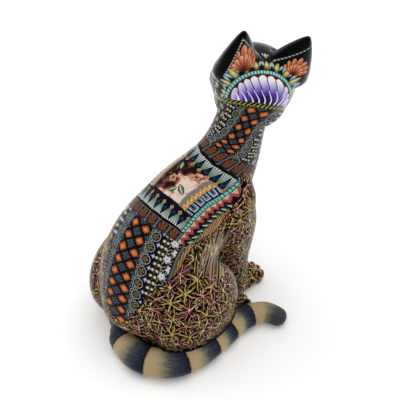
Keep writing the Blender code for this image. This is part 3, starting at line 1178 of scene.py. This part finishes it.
def lay_ears(clay):
    """A fan of petals on the back of each ear inside a thin beaded line."""
    across, along = clay.map("ear")
    on_ear = clay.value("on_ear")
    behind = clay.value("behind")
    outer = (across * -1 - along * 0.413 + 14.3) * 0.924
    inner = (across - along * 0.804 + 22.67) * 0.779
    edge = outer.least(inner)
    rim = along.above(12.0).most(along.above(5.0) * edge.below(0.0))
    clay.lay("0b0a0e", on_ear.below(1.12) * rim)
    back = behind.above(0.6, 0.3) * along.above(7.5)
    string = abs(along.wrap(1.7) / 0.85)
    clay.blend("c4cbb4", "20281f", string, back * edge.within(0.05, 0.7))
    bloom = clay.value("bloom")
    x, y = across + 0.5 - (bloom - 0.7) * 4.5, along - 9.4
    r, turn = length(x, y), angle(x, y)
    reach = (abs(turn).least(1.1) * -5.0 + 16.8) * bloom
    step = radians(20)
    for size, offset, lift in ((1.0, 0.0, 0.0), (0.66, step / 2, 0.06)):
        a = turn.wrap(step, offset) / (step / 2)
        share = r / reach / size + a * a * 0.27
        petal = back * share.below(1.0, 0.04) * abs(turn).below(radians(68), 0.05) * edge.above(0.9)
        clay.lay(clay.ramp(share * 0.8 - a * 0.16 + lift, PETAL_PAINTS), petal)
        clay.lay("1c0808", petal * (1 - abs(a)).below(0.2, 0.12))
    hollow = on_ear.below(0.84) * behind.below(3.2) * along.above(4.8)
    clay.blend("8f5b55", "6c3f40", clay.noise(700.0), hollow)


def lay_buds(clay, r, turn):
    """Two rings of buds between pale wings."""
    for turns, away, size in BUD_RINGS:
        side = abs(turn.wrap(radians(turns), radians(-4.0)) * (away / size))
        b = (r - away + abs(turn) * 2.0) / size
        ring = abs(b).below(3.6)
        wing = oval(side - 2.9 - b * 0.35, b - 0.6, 0.95, 1.7)
        leaf = oval(side - 1.5, b + 0.9, 1.0, 1.9)
        bud = oval(side, b - 0.1, 1.75 - b * 0.28, 2.3)
        clay.blend("dbe8ee", "5f8fa6", wing, ring * wing.below(1.0, 0.1))
        clay.blend("7f8a3c", "2c3a1c", leaf, ring * leaf.below(1.0, 0.1))
        clay.blend("fff6ac", "8f8a34", bud * bud + side * 0.1, ring * bud.below(1.0, 0.1))
        clay.lay("5d5a20", ring * side.near(0.55, 0.12) * bud.below(0.8))
        clay.lay("a86b4c", ring * oval(side, b + 2.5, 1.1, 0.8).below(1.0, 0.1))


def lay_back_of_head(clay):
    """A ribbed fan under an arc of beads, with rings of buds above."""
    x, y = clay.map("round")
    r, turn = length(x, y), angle(x, y)
    lay_buds(clay, r, turn)
    above = clay.value("collar").above(1.6)
    inner = above * r.below(FAN_RADIUS)
    clay.lay("5c1420", inner)
    low = y + 15.0
    lean = angle(x, low) + (low * 0.33).maths("SINE") * 0.05
    step = radians(10.5)
    a = lean.wrap(step) / (step / 2)
    petal = inner * r.below(a * a * -1.9 + 19.6, 0.2)
    depth = (length(x * 0.75, y - 1.0) + a * 0.9) / 17
    clay.lay(clay.ramp(depth, FAN_PAINTS), petal)
    clay.lay("2b1a55", petal * (1 - abs(a)).below(0.12, 0.08) * y.above(2.5))
    curve = angle(x, low) + (y * 0.42).maths("SINE") * 0.07
    rib = abs(curve.wrap(step) * low) + y * 0.03
    clay.lay("fbf8ff", petal * rib.below(0.5) * (y + x * x * 0.02).below(11.0) * y.above(0.0))
    arc = r.within(FAN_RADIUS, 22.9) * above
    bead = block((turn * 21.5).wrap(2.25), r - 21.55, 0.98, 1.1)
    clay.lay("0b2326", arc)
    clay.blend("b3e6de", "2f9690", bead * bead, arc * bead.below(1.0, 0.1))


def lay_face(clay):
    """Calm almond eyes and a rose nose on the dark ground. The mouth is in the shape."""
    x, y = clay.map("face")
    forward = clay.value("front")
    front = forward.above(8.0)
    p, q = turned(abs(x) - 9.9, y - 0.6, 0.24)
    lid = abs(q) + p * p * 0.115
    clay.lay("d8c79a", front * lid.below(3.1))
    clay.lay("141015", front * lid.below(2.75))
    clay.blend("c9c455", "4f6e2a", length(p, q) / 4.2, front * lid.below(2.35))
    clay.lay("08070a", front * (abs(p) + q * q * 0.16).below(0.85))
    clay.lay("9a5a55", front * oval(x, y + 4.0, 2.6, 1.7).below(1.0, 0.1) * forward.above(24.5))


def head_clay():
    clay = Clay("head_clay", "0c0b0f")
    clay.lay("1c1c22", clay.noise(500.0, 3.0).from_to(0.5, 0.9))
    lay_back_of_head(clay)
    lay_ears(clay)
    lay_face(clay)
    collar = clay.value("collar")
    leaf = abs((clay.map("round")[0] + collar * 0.9).wrap(2.7) / 1.35)
    clay.lay("0e100b", collar.below(2.6))
    clay.blend("bdb85c", "2c3413", leaf * 1.4, (collar * 0.5 + leaf * 1.9).below(1.35, 0.2))
    return clay.finish(0.28, None, 2.6)


# Tail


def tail_clay():
    """Bands that start pale behind a thin dark line and darken towards the next one."""
    clay = Clay("tail_clay", "2c3244")
    along, around = clay.map("tail")
    band = clay.value("band")
    streak = clay.noise(1.6, 3.0, (along * 0.12, around * 2.2))
    broad = clay.noise(0.5, 2.0, (along * 0.3, around * 0.8))
    share = (band + (streak - 0.5) * 0.06).maths("FRACT")
    shift = share + ((streak - 0.5) * 0.34 + (broad - 0.5) * 0.2) * share.from_to(0.0, 0.3)
    clay.colour = clay.ramp(shift, BAND_PAINTS)
    clay.lay("2f3644", band.below(1.0, 0.02) * 0.95)
    clay.lay("1f2433", (streak - 0.62).maths("MULTIPLY", 3.0, clamp=True) * 0.6)
    clay.lay("cdb893", (0.42 - streak).maths("MULTIPLY", 3.0, clamp=True) * 0.35)
    # Painted shade: faces of the tail piece that lie outside the tail, in the crease where it meets the body,
    # go near black.
    clay.lay("0a0606", clay.value("depth").below(-0.2, 0.3))
    return clay.finish(0.38, streak * 0.35)


# Pieces


def dress(cat):
    """Cuts the whole skin into tail, head, body and saddle, and gives each its charts and clay."""
    places, faces = corners_of(cat.data)
    normals = np.array([tuple(v.vector) for v in cat.data.vertex_normals], np.float32)
    places = places.astype(np.float64)
    places[:, 2] = np.maximum(places[:, 2], 0.0)
    bpy.data.objects.remove(cat)
    shift = np.zeros(3)
    low, high = places.min(0), places.max(0)
    for axis in (0, 1):
        shift[axis] = (solid_low[axis] + solid_high[axis]) / 2 - (low[axis] + high[axis]) / 2
    maps, values = head_chart(places)
    maps["tail"], band, depth, way = tail_chart(places)
    maps["back"], inside = back_chart(places)
    # Distance out from the tail's surface in mm, which drives the painted shade on the web next to the tail.
    # Where the tail still lies inside the rump it is 9 mm, so there is no shade.
    tail_shade_distance = np.where(way < 4, 9.0, -depth)
    pull = pull_at(places)
    values |= {"band": band, "depth": depth, "inside": inside, "tail_shade_distance": tail_shade_distance, "pull": pull}
    is_head = values["collar"][faces].mean(1) > 0
    is_tail = (depth[faces].mean(1) > TAIL_EDGE) & (way[faces].mean(1) > TAIL_START) & ~is_head
    is_rest = ~(is_head | is_tail)
    on_saddle = is_rest & (inside[faces].max(1) > SADDLE_EDGE)
    for name, found in star_maps(places, normals, faces[is_rest]).items():
        maps[name] = np.zeros((len(faces), 4, 2))
        maps[name][is_rest] = found

    web = ("to_star", "to_corner", "reach", "kinds", "pull", "tail_shade_distance")
    face = ("round", "ear", "face", "behind", "on_ear", "bloom", "front", "collar")
    for name, keep, clay, charts in (
        ("cat_tail", is_tail, tail_clay, ("tail", "band", "depth")),
        ("cat_head", is_head, head_clay, face),
        ("cat_body", is_rest & ~on_saddle, web_clay, web),
        ("cat_saddle", on_saddle, back_clay, (*web, "back", "inside", "collar")),
    ):
        skin, used = piece(name, places + shift, normals, faces[keep])
        for chart in charts:
            if chart in values:
                add_value(skin.data, chart, values[chart][used])
            else:
                found = maps[chart]
                add_map(skin.data, chart, found[keep] if found.ndim == 3 else found[faces[keep]])
        skin.data.materials.append(clay())
        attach(skin, "root")
    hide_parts("cat")


# Setting


def add_floor():
    bm = bmesh.new()
    bmesh.ops.create_grid(bm, x_segments=1, y_segments=1, size=FLOOR_SIZE)
    floor = as_object(bm, "floor")
    floor.location.z = -FLOOR_DROP
    pale = bpy.data.materials.new("pale floor")
    pale.use_nodes = True
    inputs = pale.node_tree.nodes["Principled BSDF"].inputs
    feed(inputs["Base Color"], "fafafa")
    feed(inputs["Roughness"], 0.7)
    feed(inputs["Emission Color"], "ffffff")
    feed(inputs["Emission Strength"], 0.15)
    floor.data.materials.append(pale)


def add_light(name, kind, place, size, power):
    """A lamp aimed at the cat, with its size in metres, or as an angle for a sun."""
    lamp = bpy.data.lights.new(name, kind)
    if kind == "SUN":
        lamp.angle = size
    else:
        lamp.shape = "DISK"
        lamp.size = size
    lamp.energy = power
    obj = add_object(name, lamp)
    obj.location = place
    obj.rotation_euler = (Vector((0, 0, 0.08)) - obj.location).to_track_quat("-Z", "Y").to_euler()


def light_studio():
    world = bpy.data.worlds.new("studio")
    bpy.context.scene.world = world
    world.use_nodes = True
    inputs = world.node_tree.nodes["Background"].inputs
    feed(inputs["Color"], "ffffff")
    feed(inputs["Strength"], 0.38)
    add_light("top", "SUN", (0.1, -0.1, 1.3), radians(70), 1.6)
    add_light("left", "AREA", (1.1, 0.2, 0.7), 0.9, 2.5)
    add_light("right", "AREA", (-0.6, -1.1, 0.7), 0.9, 2.5)
    view = bpy.context.scene.view_settings
    view.view_transform = "Standard"
    view.look = "None"


def add_camera():
    """From behind the cat's right side, looking down."""
    camera = bpy.data.cameras.new("camera")
    camera.sensor_width = 36.0
    camera.lens = CAMERA_LENS
    camera.dof.use_dof = False
    obj = add_object("camera", camera)
    back = Vector(CAMERA_WAY).normalized()
    obj.location = Vector(CAMERA_AIM) + back * CAMERA_AWAY
    obj.rotation_euler = (-back).to_track_quat("-Z", "Y").to_euler()
    bpy.context.scene.camera = obj


dress(make_cat())
add_floor()
light_studio()
add_camera()
